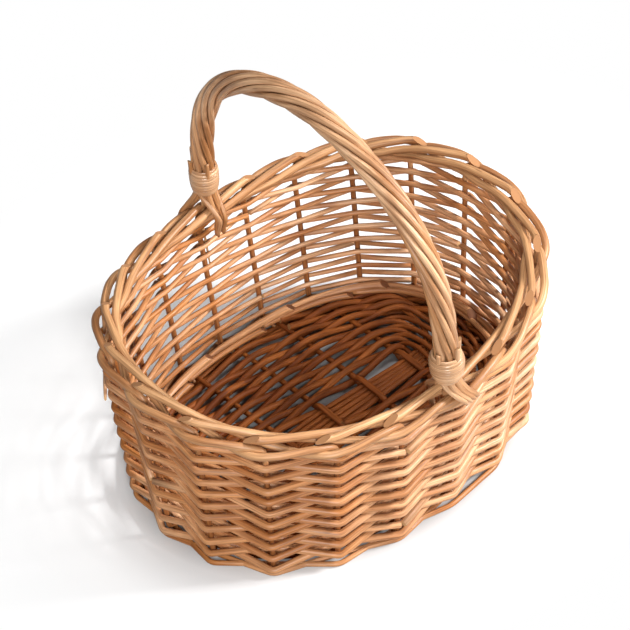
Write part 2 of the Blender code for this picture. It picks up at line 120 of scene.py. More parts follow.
def smooth_run(controls, radii, step=0.004):
    """Soft curve through the given points, with the radius at each point of it."""
    pts = [np.array(p, float) for p in controls]
    pts = [2.0 * pts[0] - pts[1]] + pts + [2.0 * pts[-1] - pts[-2]]
    out = []
    sizes = []
    for i in range(1, len(pts) - 2):
        p0, p1, p2, p3 = pts[i - 1:i + 3]
        t0 = 0.0
        t1 = t0 + max(np.linalg.norm(p1 - p0), 1e-6) ** 0.5
        t2 = t1 + max(np.linalg.norm(p2 - p1), 1e-6) ** 0.5
        t3 = t2 + max(np.linalg.norm(p3 - p2), 1e-6) ** 0.5
        n = max(2, int(math.ceil(np.linalg.norm(p2 - p1) / step)))
        last = i == len(pts) - 3
        for k in range(n + 1 if last else n):
            t = t1 + (t2 - t1) * k / n
            a1 = (t1 - t) / (t1 - t0) * p0 + (t - t0) / (t1 - t0) * p1
            a2 = (t2 - t) / (t2 - t1) * p1 + (t - t1) / (t2 - t1) * p2
            a3 = (t3 - t) / (t3 - t2) * p2 + (t - t2) / (t3 - t2) * p3
            b1 = (t2 - t) / (t2 - t0) * a1 + (t - t0) / (t2 - t0) * a2
            b2 = (t3 - t) / (t3 - t1) * a2 + (t - t1) / (t3 - t1) * a3
            out.append((t2 - t) / (t2 - t1) * b1 + (t - t1) / (t2 - t1) * b2)
            sizes.append(radii[i - 1] + (radii[i] - radii[i - 1]) * k / n)
    return np.array(out), np.array(sizes)


def cut_end(verts, tip, before, radius, slope, cut_way):
    """Cut a rod's end on a slant: what lies past the cut goes back onto it."""
    way = (tip - before).normalized()
    up = Vector(cut_way)
    up = (up - way * up.dot(way)).normalized()
    reach = radius * (2.0 * slope + 3.0)
    for vert in verts:
        offset = vert.co - tip
        beyond = offset.dot(way) + (offset.dot(up) + radius) * slope
        if beyond > 0.0 and offset.length < reach:
            vert.co -= way * beyond


def add_rod(bm, run, sizes, tone, roundness=3, cut=(0.0, 0.0), cut_way=(0.0, 0.0, 1.0)):
    """Sweep one round rod along a run, with its tone, its grain and its slanted cut ends."""
    curve = bpy.data.curves.new("rod", "CURVE")
    curve.dimensions = "3D"
    curve.bevel_depth = 1.0
    curve.bevel_resolution = roundness
    curve.use_fill_caps = True
    spline = curve.splines.new("POLY")
    spline.points.add(len(run) - 1)
    spline.points.foreach_set("co", np.column_stack([run, np.ones(len(run))]).ravel())
    spline.points.foreach_set("radius", sizes)
    spline.use_smooth = True
    holder = bpy.data.objects.new("rod", curve)
    mesh = bpy.data.meshes.new_from_object(holder)
    first = len(bm.verts)
    first_face = len(bm.faces)
    bm.from_mesh(mesh)
    bm.verts.ensure_lookup_table()
    bm.verts.index_update()
    bm.faces.ensure_lookup_table()
    floats = bm.verts.layers.float
    vectors = bm.verts.layers.float_vector
    tones = floats.get("tone") or floats.new("tone")
    grain = vectors.get("grain") or vectors.new("grain")
    cuts = bm.faces.layers.float.get("cut") or bm.faces.layers.float.new("cut")

    # The points of the two end faces come first, then the rings along the rod
    sides = 2 * roundness + 4
    tube = first + 2 * sides
    tone = np.broadcast_to(np.asarray(tone, float), (len(run),))
    lengths = lengths_along(run)
    for number, vert in enumerate(bm.verts[tube:]):
        ring, k = divmod(number, sides)
        turn = math.tau * k / sides
        vert[tones] = tone[ring]
        vert[grain] = (math.cos(turn), math.sin(turn), lengths[ring])
    start, end = Vector(run[0]), Vector(run[-1])
    start_ring, end_ring = bm.verts[tube:tube + sides], bm.verts[-sides:]
    for vert in bm.verts[first:tube]:
        at_start = (vert.co - start).length < (vert.co - end).length
        twin = min(start_ring if at_start else end_ring,
                   key=lambda other: (other.co - vert.co).length)
        vert[tones] = twin[tones]
        vert[grain] = twin[grain]
    for face in bm.faces[first_face:]:
        face[cuts] = 1.0 if face.verts[0].index < tube else 0.0

    verts = bm.verts[first:]
    if cut[0] > 0.0:
        cut_end(verts, start, Vector(run[1]), float(sizes[0]), cut[0], cut_way)
    if cut[1] > 0.0:
        cut_end(verts, end, Vector(run[-2]), float(sizes[-1]), cut[1], cut_way)
    bpy.data.objects.remove(holder)
    bpy.data.curves.remove(curve)
    bpy.data.meshes.remove(mesh)
    return bm


def finish_piece(name, bm, material, slot, *nodes):
    """Make the piece from its rods, with smooth sides and plain cut faces."""
    bmesh.ops.remove_doubles(bm, verts=bm.verts, dist=1e-6)
    mesh = bpy.data.meshes.new(name)
    bm.to_mesh(mesh)
    bm.free()
    mesh.materials.append(material)
    cuts = mesh.attributes["cut"].data
    for poly in mesh.polygons:
        poly.use_smooth = cuts[poly.index].value < 0.5
    piece = bpy.data.objects.new(name, mesh)
    bpy.context.collection.objects.link(piece)
    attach(piece, "root")
    if nodes:
        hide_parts(*nodes)


def willow(name, pale, deep, shade, cut_colour, roughness, scar=0.5, coat=0.12):
    """Peeled willow: lengthwise grain, darker patches, small bud scars and a satin sheen."""
    mat = bpy.data.materials.new(name)
    mat.use_nodes = True
    nodes = mat.node_tree.nodes
    links = mat.node_tree.links
    shader = nodes["Principled BSDF"]
    shader.inputs["Specular IOR Level"].default_value = 0.4 if coat else 0.2
    shader.inputs["Coat Weight"].default_value = coat
    shader.inputs["Coat Roughness"].default_value = 0.3

    def add(kind, **values):
        node = nodes.new(kind)
        for key, value in values.items():
            setattr(node, key, value)
        return node

    def maths(operation, a, b):
        node = add("ShaderNodeMath", operation=operation)
        for socket, value in zip(node.inputs, (a, b)):
            if isinstance(value, float):
                socket.default_value = value
            else:
                links.new(value, socket)
        return node.outputs[0]

    def ramp(value, *stops):
        node = add("ShaderNodeValToRGB")
        for element, (position, level) in zip(node.color_ramp.elements, stops):
            element.position = position
            element.color = (*level, 1.0)
        links.new(value, node.inputs[0])
        return node.outputs[0]

    def blend(share, a, b, mode="MIX"):
        node = add("ShaderNodeMix", data_type="RGBA", blend_type=mode)
        sockets = (node.inputs[0], node.inputs[6], node.inputs[7])
        for socket, value in zip(sockets, (share, a, b)):
            if isinstance(value, float):
                socket.default_value = value
            elif isinstance(value, tuple):
                socket.default_value = (*value, 1.0)
            else:
                links.new(value, socket)
        return node.outputs[2]

    tone = add("ShaderNodeAttribute", attribute_name="tone").outputs["Fac"]
    cut = add("ShaderNodeAttribute", attribute_name="cut").outputs["Fac"]
    spot = add("ShaderNodeAttribute", attribute_name="grain").outputs["Vector"]
    # Rods of another tone take another part of the same grain
    apart = maths("MULTIPLY", tone, 3.0)

    def stretched(across, along):
        node = add("ShaderNodeVectorMath", operation="MULTIPLY")
        links.new(spot, node.inputs[0])
        node.inputs[1].default_value = (across, across, along)
        return node.outputs[0]

    def rod_noise(across, along, offset, detail):
        noise = add("ShaderNodeTexNoise", noise_dimensions="4D")
        noise.inputs["Scale"].default_value = 1.0
        noise.inputs["Detail"].default_value = detail
        links.new(stretched(across, along), noise.inputs["Vector"])
        links.new(maths("ADD", apart, offset), noise.inputs["W"])
        return noise.outputs["Fac"]

    none = (0.0, 0.0, 0.0)
    full = (1.0, 1.0, 1.0)
    patches = rod_noise(across=0.35, along=14.0, offset=0.0, detail=2.0)
    grain = rod_noise(across=3.4, along=26.0, offset=7.0, detail=4.0)
    fine = rod_noise(across=7.0, along=90.0, offset=13.0, detail=3.0)
    patch_share = ramp(patches, (0.40, none), (0.64, full))
    streaks = ramp(grain, (0.34, (0.56, 0.47, 0.40)), (0.62, (1.14, 1.13, 1.12)))
    flecks = ramp(fine, (0.30, (0.84, 0.80, 0.77)), (0.62, (1.05, 1.05, 1.05)))
    base = blend(tone, pale, deep)
    base = blend(patch_share, base, blend(0.60, base, shade))
    base = blend(0.85, base, streaks, "MULTIPLY")
    base = blend(0.8, base, flecks, "MULTIPLY")

    # Bud scars are small dark dots, far apart along the rod
    scar_colour = (0.13, 0.055, 0.022)
    scars = add("ShaderNodeTexVoronoi", voronoi_dimensions="4D")
    scars.inputs["Scale"].default_value = 1.0
    links.new(stretched(across=0.9, along=34.0), scars.inputs["Vector"])
    links.new(apart, scars.inputs["W"])
    scar_share = ramp(scars.outputs["Distance"], (0.10, full), (0.19, none))
    base = blend(maths("MULTIPLY", scar_share, scar), base, scar_colour)

    # A cut face is dull and has its own colour
    cut_roughness = 0.9
    duller = maths("MULTIPLY", cut, cut_roughness - roughness)
    links.new(blend(cut, base, cut_colour), shader.inputs["Base Color"])
    links.new(maths("ADD", duller, roughness), shader.inputs["Roughness"])

    height = maths("ADD", maths("MULTIPLY", grain, 0.6), maths("MULTIPLY", fine, 0.4))
    height = maths("SUBTRACT", height, maths("MULTIPLY", scar_share, 0.5))
    bump = add("ShaderNodeBump")
    bump.inputs["Strength"].default_value = 0.4
    bump.inputs["Distance"].default_value = 0.0006
    links.new(height, bump.inputs["Height"])
    links.new(bump.outputs[0], shader.inputs["Normal"])
    return mat


# Dark base colours: partly the willow's own, partly painted shade inside the basket
base_rod_and_painted_shade = willow(
    "base_rod_and_painted_shade", pale=(0.37, 0.116, 0.024), deep=(0.20, 0.048, 0.006), shade=(0.095, 0.020, 0.003),
    cut_colour=(0.40, 0.20, 0.08), roughness=0.58, coat=0.0)

luck = random.Random(11)  # the small unevenness of handwork
STAKE = 0.0027  # radii of the rods
WEAVER = 0.0032
STICK = 0.0029
SPOKE = 0.0023  # a stick's thinned end
GAP = 0.0003
LONG_STICKS = 5
STICK_HEIGHT = 0.0078
STICK_PITCH = 2.0 * STICK + GAP
# Where the weave starts beside the group of long sticks
SHOULDER = 2.0 * STICK_PITCH + STICK + GAP + 3.0 * SPOKE
SLATH_END = 0.1475  # where the long rods start to fan out
CROSS_SPACING = 0.05015
FAN_BACK = (1.10, 0.30, 0.0, 0.30, 1.10)  # each fans out this many pitches sooner
WEAVE_OUT = (STAKE + WEAVER + GAP) * 1.075  # from a stake's middle to a wall rod's


def stick_start(place):
    """Where the stick that runs to a stake leaves the middle of the base."""
    # Cross sticks run to places -2 to 2 and 8 to 12, long sticks to 3 to 7 and 13 to 17
    index = (place + 2) % STAKES - 2
    if index <= 2:
        return Vector((index * CROSS_SPACING, -SHOULDER, STICK_HEIGHT))
    if 8 <= index <= 12:
        return Vector(((10 - index) * CROSS_SPACING, SHOULDER, STICK_HEIGHT))
    j = index - 3 if index < 8 else 17 - index
    reach = SLATH_END - FAN_BACK[j] * STICK_PITCH
    return Vector((reach if index < 8 else -reach, (j - 2.0) * STICK_PITCH, STICK_HEIGHT))


def stick_run(place):
    """Start and end of a base stick, and the stake's foot laid beside it."""
    start = stick_start(place)
    foot = on_wall(place, 0.0, STICK_HEIGHT)
    foot.z = STICK_HEIGHT
    apart = SPOKE + STAKE + GAP
    reach = start - foot
    bearing = math.atan2(reach.y, reach.x) - math.asin(apart / reach.length)
    inward = Vector((math.cos(bearing), math.sin(bearing), 0.0))
    beside = Vector((-inward.y, inward.x, 0.0))
    outward = oval_at(place, WALL_FOOT)[1]
    square = -inward.dot(outward)
    inset = WEAVE_OUT + WEAVER + 4.0 * GAP + SPOKE * math.sqrt(1.0 - square ** 2)
    end = foot + beside * apart + inward * ((inset + beside.dot(outward) * apart) / square)
    return start, end, foot, inward, beside


LONG_ROD = 0.00265
LONG_ROD_NECK = 0.0025
FAN_BEND = 0.012  # length over which a long rod turns out into the fan

for j in range(LONG_STICKS):
    y = (j - 2.0) * STICK_PITCH
    reach = SLATH_END - FAN_BACK[j] * STICK_PITCH
    right = stick_run(3 + j)[1]
    left = stick_run(17 - j)[1]
    run, sizes = smooth_run(
        [left, left.lerp(Vector((-reach, y, STICK_HEIGHT)), 0.8),
         (-reach + FAN_BEND, y, STICK_HEIGHT),
         (0.0, y + luck.uniform(-0.0002, 0.0002), STICK_HEIGHT),
         (reach - FAN_BEND, y, STICK_HEIGHT),
         right.lerp(Vector((reach, y, STICK_HEIGHT)), 0.8), right],
        [SPOKE, LONG_ROD_NECK, LONG_ROD, LONG_ROD, LONG_ROD, LONG_ROD_NECK, SPOKE], 0.006)
    bm = add_rod(bmesh.new(), run, sizes, luck.uniform(0.0, 0.6), cut=(0.8, 0.8))
    finish_piece("base_long_rod_%d" % (j + 1), bm, base_rod_and_painted_shade, "base_willow",
                 "base_long_stick_%d" % (j + 1))

CROSS_RADII = (SPOKE, 0.0027, 0.0031, 0.0032, 0.0033, 0.0032, 0.0031, 0.0027, SPOKE)
SLIT = 0.0049  # from the middle of a cross rod to the middle of each half
SLIT_OPEN = 0.0145  # half the length over which the slit is fully open
SLIT_END = 0.0205  # half the length of the whole slit
SLIT_LIE = 0.0004  # each half still lies this far off the middle there
FLAT_TO = 0.0130  # half the length of the flat part of each half
FLAT_FADE = 0.006  # length over which it turns round again
FLATTENING = 0.58  # share of its thickness taken off
TABLE_GAP = 0.0002

for i in range(5):
    x = (i - 2) * CROSS_SPACING
    near = stick_run(i - 2)[1]
    far = stick_run(12 - i)[1]
    bm = bmesh.new()
    tone = luck.uniform(0.1, 0.8)
    for side in (1.0, -1.0):
        gap = SLIT * side
        lie = SLIT_LIE * side
        run, sizes = smooth_run(
            [near, near.lerp(Vector((x, -SHOULDER, STICK_HEIGHT)), 0.85),
             (x, -SLIT_END, STICK_HEIGHT + lie), (x, -SLIT_OPEN, STICK_HEIGHT + gap),
             (x, 0.0, STICK_HEIGHT + gap),
             (x, SLIT_OPEN, STICK_HEIGHT + gap), (x, SLIT_END, STICK_HEIGHT + lie),
             far.lerp(Vector((x, SHOULDER, STICK_HEIGHT)), 0.85), far], CROSS_RADII)
        add_rod(bm, run, sizes, tone)
    # Both halves of the split rod are flat where they hold the long rods
    for vert in bm.verts:
        middle = max(0.0, 1.0 - max(0.0, abs(vert.co.y) - FLAT_TO) / FLAT_FADE)
        if middle > 0.0:
            level = STICK_HEIGHT + math.copysign(SLIT * middle, vert.co.z - STICK_HEIGHT)
            vert.co.z = level + (vert.co.z - level) * (1.0 - FLATTENING * middle)
            vert.co.z = max(vert.co.z, TABLE_GAP)
    finish_piece("base_cross_rod_%d" % (i + 1), bm, base_rod_and_painted_shade, "base_willow",
                 "base_cross_stick_%d" % (i + 1))


# Base weave
# Two rods chase each other round the sticks, over one and under the next,
# first taking the long sticks of each end as one, then opening them out.
INNER_TURNS = 4
OUTER_TURNS = 2
OVER = 0.0053  # a rod's middle above the sticks' middle
UNDER = 0.0041  # and below it
INNER_ROD = 0.0034
GROUP_ROD = 0.0023  # thinner where it goes round a group of long sticks
BEND_ROD = 0.0026
OUTER_ROD = 0.0032
CLOSE_ROD = 0.0024
GROUP_START = 0.1078  # where the first turn goes round the group, from the middle
GROUP_GROWTH = 0.0345
GROUP_SIDE = 0.0122
INNER_FROM = -0.045  # share of a stick at which the inner rows start
INNER_SPREAD = 0.53
OUTER_SHARE = 0.47  # share of a stick that the outer rows take up
LAST_ROW = 0.0012  # the last row lies this far inside the sticks' ends
BETWEEN_FROM = 0.2  # the rod between the outer rows starts at this share of them
BETWEEN_SHARE = 0.25  # of their depth, back from a row that is set wide apart
BETWEEN_BACK = 0.0190  # and back from any other row
LEAST_DEPTH = 0.0205  # the outer rows take up at least this much of a stick
WIDE_DEPTH = 0.03  # from here on they are set wide apart
STAKE_RUN_IN = 0.0168  # length of a stake's foot beside the stick
HALF_PAIR = 0.00265  # from a stick's middle to the middle of stick and stake
EDGE_HEIGHT = 0.0026
BASE_CHANGES = 61  # changes of tone along a rod of the base


def tones_along(run, changes):
    """Tone at each point of a run, from a few tones spread evenly along it."""
    spread = np.linspace(0.0, len(changes) - 1.0, len(run))
    return np.interp(spread, np.arange(len(changes)), changes)


def base_weave(name, node, sign, start, row_shift, edge_inside):
    """One rod of the base weave, from the group of long sticks out to the wall."""
    controls = []
    radii = []
    group = None

    def lifted(spot, sign):
        spot.z = STICK_HEIGHT + (OVER if sign > 0.0 else -UNDER)
        return spot

    def level_spot(group, single):
        """Between a group of long sticks and the single stick next to it."""
        return Vector((group.x + 0.2 * (single.x - group.x),
                       single.y + 0.25 * (group.y - single.y), STICK_HEIGHT))

    for n in range(INNER_TURNS * STAKES):
        place = (start + n) % STAKES
        share = n / (INNER_TURNS * STAKES)
        begin, end = stick_run(place)[:2]
        local = place % 10
        if 3 < local < 7:
            continue
        if local in (3, 7):
            x = GROUP_START + GROUP_GROWTH * share
            right = place < 10
            lower = (local == 3) == right
            spot = Vector((x if right else -x, -GROUP_SIDE if lower else GROUP_SIDE, 0.0))
            if local == 3:
                controls.append(level_spot(spot, controls[-1]))
                radii.append(BEND_ROD)
            else:
                group = spot
        else:
            spot = begin.lerp(end, INNER_FROM + INNER_SPREAD * share)
            if group is not None:
                controls.append(level_spot(group, spot))
                radii.append(BEND_ROD)
                group = None
        controls.append(lifted(spot, sign))
        radii.append(GROUP_ROD if local in (3, 7) else INNER_ROD)
        if local != 3:
            sign = -sign

    between = []
    between_radii = []
    for n in range(OUTER_TURNS * STAKES):
        place = (start + n) % STAKES
        share = n / (OUTER_TURNS * STAKES)
        begin, end, foot, inward, beside = stick_run(place)
        way = (end - begin).normalized()
        depth = max(OUTER_SHARE * (end - begin).length, LEAST_DEPTH)
        wide = depth > WIDE_DEPTH
        inset = row_shift * (depth - LEAST_DEPTH)
        spot = end - way * (LAST_ROW + depth * (1.0 - share) + inset)
        if (spot - foot).dot(inward) < STAKE_RUN_IN:
            spot = spot - beside * HALF_PAIR
        controls.append(lifted(spot, sign))
        radii.append(OUTER_ROD if wide else CLOSE_ROD)
        if share > BETWEEN_FROM:
            back = BETWEEN_SHARE * depth if wide else BETWEEN_BACK
            between.append(lifted(spot - way * back, sign))
            between_radii.append(OUTER_ROD if wide else CLOSE_ROD)
        sign = -sign

    bm = bmesh.new()
    run, sizes = smooth_run(controls, radii, 0.005)
    changes = [luck.uniform(0.0, 1.0) for m in range(BASE_CHANGES)]
    add_rod(bm, run, sizes, tones_along(run, changes), 2)
    # Under the ends of the sticks a rod lies close to the foot of the wall
    edge = [on_wall(start + m / 4.0, -edge_inside, EDGE_HEIGHT) for m in range(4 * STAKES - 1)]
    run, sizes = smooth_run(edge, [CLOSE_ROD] * len(edge), 0.008)
    add_rod(bm, run, sizes, luck.uniform(0.3, 0.9), 2)
    # A second rod fills in between the wide-set outer rows
    run, sizes = smooth_run(between, between_radii, 0.005)
    add_rod(bm, run, sizes, tones_along(run, changes[::-1]), 2)
    finish_piece(name, bm, base_rod_and_painted_shade, "base_willow", node)


base_weave("base_weave_rod_a", "base_weaver_a", 1.0, 0, row_shift=0.0, edge_inside=0.0198)
base_weave("base_weave_rod_b", "base_weaver_b", -1.0, 10, row_shift=0.125, edge_inside=0.0140)


# Stakes and border
# Each stake is pushed in beside a base stick and turned up into the wall. At
# the top it is laid down as a border rod: outside the next stake, under, up
# the inside and over the top, where it is cut off on a slant.
stake_rod = willow(
    "stake_rod", pale=(0.72, 0.425, 0.210), deep=(0.32, 0.120, 0.036), shade=(0.32, 0.110, 0.028),
    cut_colour=(0.42, 0.20, 0.085), roughness=0.44)
UPRIGHT = 0.0026
UPRIGHT_HEIGHTS = (0.045, 0.085, 0.125)
BORDER_BEND = 0.84  # share of its thickness where a stake bends into the border
STRAIGHTNESS = 0.8  # of the border between two stakes
UPRIGHT_END = 1.7 * BORDER_ROD  # below the border
UPRIGHT_TONE = 0.95
UPRIGHT_TOP = 0.012  # the upright's darker tone ends this far below the border
# Share of the foot's length, height in stake radii, share of the stake's thickness
STAKE_FOOT = ((1.0, 0.0, 0.5), (0.6, 0.0, 0.86), (0.24, 0.0, 0.9), (0.05, 0.4, 1.0),
              (0.0, 2.0, 1.0))
# Stakes gone past, then how far out and up, in border rods
BORDER_RUN = (
    (0.03, 0.16, -0.85), (0.12, 0.42, -0.32), (0.32, 0.86, 0.0), (0.58, 1.24, 0.02),
    (0.85, 1.48, -0.22), (1.15, 1.43, -0.64), (1.50, 0.35, -1.06), (1.80, -0.60, -0.84),
    (2.10, -1.08, -0.45), (2.50, -1.42, -0.05), (2.90, -1.40, 0.45), (3.30, -0.98, 0.88),
    (3.70, -0.45, 1.08), (4.05, 0.05, 1.14), (4.30, 0.38, 1.10),
)


def on_border(place, out, up):
    """Point in the border, whose rods run nearly straight from stake to stake."""
    before = math.floor(place)
    here, outward = oval_at(place, BORDER)
    chord = oval_at(before, BORDER)[0].lerp(oval_at(before + 1, BORDER)[0], place - before)
    here = here.lerp(chord, STRAIGHTNESS)
    spot = here + outward * out
    spot.z = BORDER_HEIGHT + end_rise(here) + up
    return spot


for k in range(STAKES):
    inward = stick_run(k)[3]
    spots = []
    radii = []
    for run_in, above, share in STAKE_FOOT:
        height = STICK_HEIGHT + above * STAKE
        here = on_wall(k, 0.0, height) + inward * (run_in * STAKE_RUN_IN)
        here.z = height
        spots.append(here)
        radii.append(STAKE * share)
    for height in UPRIGHT_HEIGHTS:
        spots.append(on_wall(k, luck.uniform(-0.0003, 0.0003), height))
        radii.append(UPRIGHT)
    spots.append(on_wall(k, 0.0, BORDER_HEIGHT - UPRIGHT_END))
    radii.append(UPRIGHT)
    thick = luck.uniform(0.0034, 0.0038)
    for along, out, up in BORDER_RUN:
        spots.append(on_border(k - along, out * BORDER_ROD, up * BORDER_ROD))
        radii.append(thick * (BORDER_BEND if along < 0.2 else 1.0))
    run, sizes = smooth_run(spots, radii, 0.0035)
    tone = luck.uniform(0.0, 0.45)
    tones = np.where(run[:, 2] < BORDER_HEIGHT - UPRIGHT_TOP, UPRIGHT_TONE, tone)
    bm = add_rod(bmesh.new(), run, sizes, tones, 4, cut=(0.0, 1.9))
    finish_piece("stake_rod_%02d" % (k + 1), bm, stake_rod, "peeled_willow",
                 "stake_%02d" % (k + 1))


# Wall weave
# Two rows of rods chase each other round the stakes, in front of one and
# behind the next. Each rod is a little thinner at its tip than at its butt, and
# the next one starts at the stake where it ends.
wall_rod = willow(
    "wall_rod", pale=(0.88, 0.560, 0.330), deep=(0.58, 0.240, 0.072), shade=(0.36, 0.115, 0.026),
    cut_colour=(0.58, 0.34, 0.16), roughness=0.44)
BAYS = 28  # gaps between stakes that one rod passes
RODS = 7
CARRIED_ON = 4  # the last rod of a row passes this many more
BUTT = 0.0035
TAPER = 0.0005
THINNER = 0.26  # share taken off at the far side
THINNER_RIGHT = 0.09  # more at the right end, less at the left
END_SHIFT = 0.02  # a rod starts just past a stake and ends just short of one
LOWEST_OUTSIDE = 0.0036
LOWEST_INSIDE = 0.0143
WEAVE_TOP = BORDER_HEIGHT - 1.9 * BORDER_ROD
PACKING = 0.22  # at the far side the rows lie closer towards the top
CLEAR_OUTSIDE = 0.0010  # a wall rod's bend stands this much further off a stake
CLEAR_INSIDE = 0.0003
UNEVEN = 0.0006  # in the height of a wall rod at a stake
BEND = 0.06  # share of the gap between two stakes, on each side of a bend
GROUND_BEND = 0.10
GROUND_OUTSIDE = 0.0062
GROUND_INSIDE = 0.0054
GROUND_HEIGHT = 0.0026
GROUND_ROD = 0.0025


def farness(place):
    """Nought at the near handle foot, one at the far foot."""
    return 0.5 - 0.5 * math.cos(math.tau * place / STAKES)


def weave_height(place, share, outside):
    """Height of a row at a stake, from its share of the whole weave."""
    low = LOWEST_OUTSIDE if outside else LOWEST_INSIDE
    packed = share * (1.0 + PACKING * farness(place) * (1.0 - share))
    return low + (WEAVE_TOP - low) * packed


def wall_tone_with_painted_shade(place):
    """Tone at a stake, at random, with painted shade: browner past the left end towards the front,
    and browner and more uneven from the far foot to the left end.
    """
    if 16 <= place % STAKES <= 18:
        return luck.uniform(0.5, 1.0)
    if 10 <= place % STAKES <= 14:
        return luck.uniform(0.35, 1.15)
    return luck.uniform(0.0, 0.9)


def rounded(corners, radii, tones, bend, straight=0.30):
    """Straight runs between stakes with a short round bend at each."""
    run = [corners[0]]
    sizes = [radii[0]]
    shades = [tones[0]]

    def add_straight(k, other):
        run.append(corners[k].lerp(corners[other], straight))
        sizes.append(0.7 * radii[k] + 0.3 * radii[other])
        shades.append(0.7 * tones[k] + 0.3 * tones[other])

    for k in range(1, len(corners) - 1):
        into = corners[k].lerp(corners[k - 1], bend)
        away = corners[k].lerp(corners[k + 1], bend)
        add_straight(k, k - 1)
        for t in (0.0, 0.25, 0.5, 0.75, 1.0):
            run.append(into.lerp(corners[k], t).lerp(corners[k].lerp(away, t), t))
            sizes.append(radii[k])
            shades.append(tones[k])
        add_straight(k, k + 1)
    run.append(corners[-1])
    sizes.append(radii[-1])
    shades.append(tones[-1])
    return np.array([tuple(p) for p in run]), np.array(sizes), np.array(shades)


def wall_corner(place, radius, outside, height):
    """Middle of a wall rod where it bends round a stake."""
    out = STAKE + radius + GAP + (CLEAR_OUTSIDE if outside else CLEAR_INSIDE)
    return on_wall(place, out if outside else -out, height)


for chase, start, parity in (("a", 1, 0), ("b", 11, 1)):
    for n in range(RODS):
        corners = []
        radii = []
        tones = []
        bays = BAYS + CARRIED_ON if n == RODS - 1 else BAYS
        for m in range(bays + 1):
            step = n * BAYS + m
            place = start + step
            outside = (place + parity) % 2 == 0
            thinner = THINNER + THINNER_RIGHT * math.sin(math.tau * place / STAKES)
            radius = (BUTT - TAPER * m / BAYS) * (1.0 - thinner * farness(place) ** 1.5)
            height = weave_height(place, min(1.0, step / (RODS * BAYS)), outside)
            height += luck.uniform(-UNEVEN, UNEVEN)
            if m == 0:
                place += END_SHIFT
            if m == bays:
                place -= END_SHIFT
            corners.append(wall_corner(place, radius, outside, height))
            radii.append(radius)
            tones.append(wall_tone_with_painted_shade(place))
        bm = bmesh.new()
        run, sizes, shades = rounded(corners, radii, tones, BEND)
        add_rod(bm, run, sizes, shades)
        if n == 0:
            # Another rod lies on the table, under the first one of each row
            corners = []
            for m in range(10, 31):
                outside = (m % 2 == 0 if m < 21 else m % 2 == 1) == (chase == "a")
                out = GROUND_OUTSIDE if outside else -GROUND_INSIDE
                corners.append(on_wall(m, out, GROUND_HEIGHT))
            tones = [luck.uniform(0.0, 1.0) for corner in corners]
            run, sizes, shades = rounded(corners, [GROUND_ROD] * len(corners), tones, GROUND_BEND)
            add_rod(bm, run, sizes, shades)
        finish_piece("wall_rod_%s%d" % (chase, n + 1), bm, wall_rod, "peeled_willow",
                     "wall_weaver_%s%d" % (chase, n + 1))


# Loose rod tip
# One thin tip of a wall rod has sprung out of the weave at the left end, and
# is cut off on a slant.
tip = [on_wall(13.3, 0.0030, 0.1330), on_wall(13.8, 0.0075, 0.1300), on_wall(14.05, 0.0130, 0.1240)]
run, sizes = smooth_run(tip, [0.0022, 0.0019, 0.0012])
bm = add_rod(bmesh.new(), run, sizes, 0.1, cut=(0.0, 1.5))
finish_piece("loose_rod_tip", bm, wall_rod, "peeled_willow")


# Foot rods
# The thick butts of the first wall rods are pushed in behind the stakes at the
# foot of the wall and cut off inside, each with a thinner one beside it.
foot_rod = willow(
    "foot_rod", pale=(0.74, 0.40, 0.190), deep=(0.46, 0.19, 0.062), shade=(0.30, 0.105, 0.030),
    cut_colour=(0.20, 0.070, 0.024), roughness=0.45)
BUTT_PLACE = 0.4  # stakes past each second stake
THINNER_PLACE = 1.2
# Stakes ahead, then how far inside the wall and how high
BUTT_RUN = ((0.0, 0.0150, 0.0185), (0.35, 0.0140, 0.0172), (0.9, 0.0124, 0.0152),
            (1.8, 0.0108, 0.0138), (2.6, 0.0090, 0.0120))
THINNER_RUN = ((0.0, 0.0225, 0.0168), (0.5, 0.0200, 0.0160), (1.2, 0.0178, 0.0148),
               (2.0, 0.0160, 0.0136))
BUTT_RADII = (0.0045, 0.0045, 0.0042, 0.0035, 0.0026)
THINNER_RADII = (0.0030, 0.0030, 0.0027, 0.0020)

for q in range(STAKES // 2):
    lengthen = luck.uniform(0.9, 1.15)
    spots = [on_wall(2 * q + BUTT_PLACE + ahead * lengthen, -inside, height)
             for ahead, inside, height in BUTT_RUN]
    run, sizes = smooth_run(spots, BUTT_RADII, 0.006)
    bm = add_rod(bmesh.new(), run, sizes, luck.uniform(0.0, 1.0), 4, cut=(1.1, 0.0))
    spots = [on_wall(2 * q + THINNER_PLACE + ahead, -inside, height)
             for ahead, inside, height in THINNER_RUN]
    run, sizes = smooth_run(spots, THINNER_RADII, 0.006)
    add_rod(bm, run, sizes, luck.uniform(0.3, 1.0), cut=(1.1, 0.0))
    finish_piece("foot_rod_%02d" % (q + 1), bm, foot_rod, "peeled_willow")


# Handle bow
# The bow is one stiff willow rod. It stands through the border at both ends,
# and little of it shows between the strands that are laid round it.
bow_wood = bpy.data.materials.new("bow_wood")
bow_wood.use_nodes = True
bow_nodes = bow_wood.node_tree.nodes
bow_links = bow_wood.node_tree.links
bow_place = bow_nodes.new("ShaderNodeTexCoord")
bow_noise = bow_nodes.new("ShaderNodeTexNoise")
bow_noise.inputs["Scale"].default_value = 60.0
bow_ramp = bow_nodes.new("ShaderNodeValToRGB")
bow_ramp.color_ramp.elements[0].color = (0.26, 0.12, 0.05, 1.0)
bow_ramp.color_ramp.elements[1].color = (0.50, 0.28, 0.12, 1.0)
bow_shader = bow_nodes["Principled BSDF"]
bow_shader.inputs["Roughness"].default_value = 0.5
bow_links.new(bow_place.outputs["Object"], bow_noise.inputs["Vector"])
bow_links.new(bow_noise.outputs["Fac"], bow_ramp.inputs[0])
bow_links.new(bow_ramp.outputs[0], bow_shader.inputs["Base Color"])
for material_slot in bpy.data.objects["handle_bow"].material_slots:
    material_slot.material = bow_wood


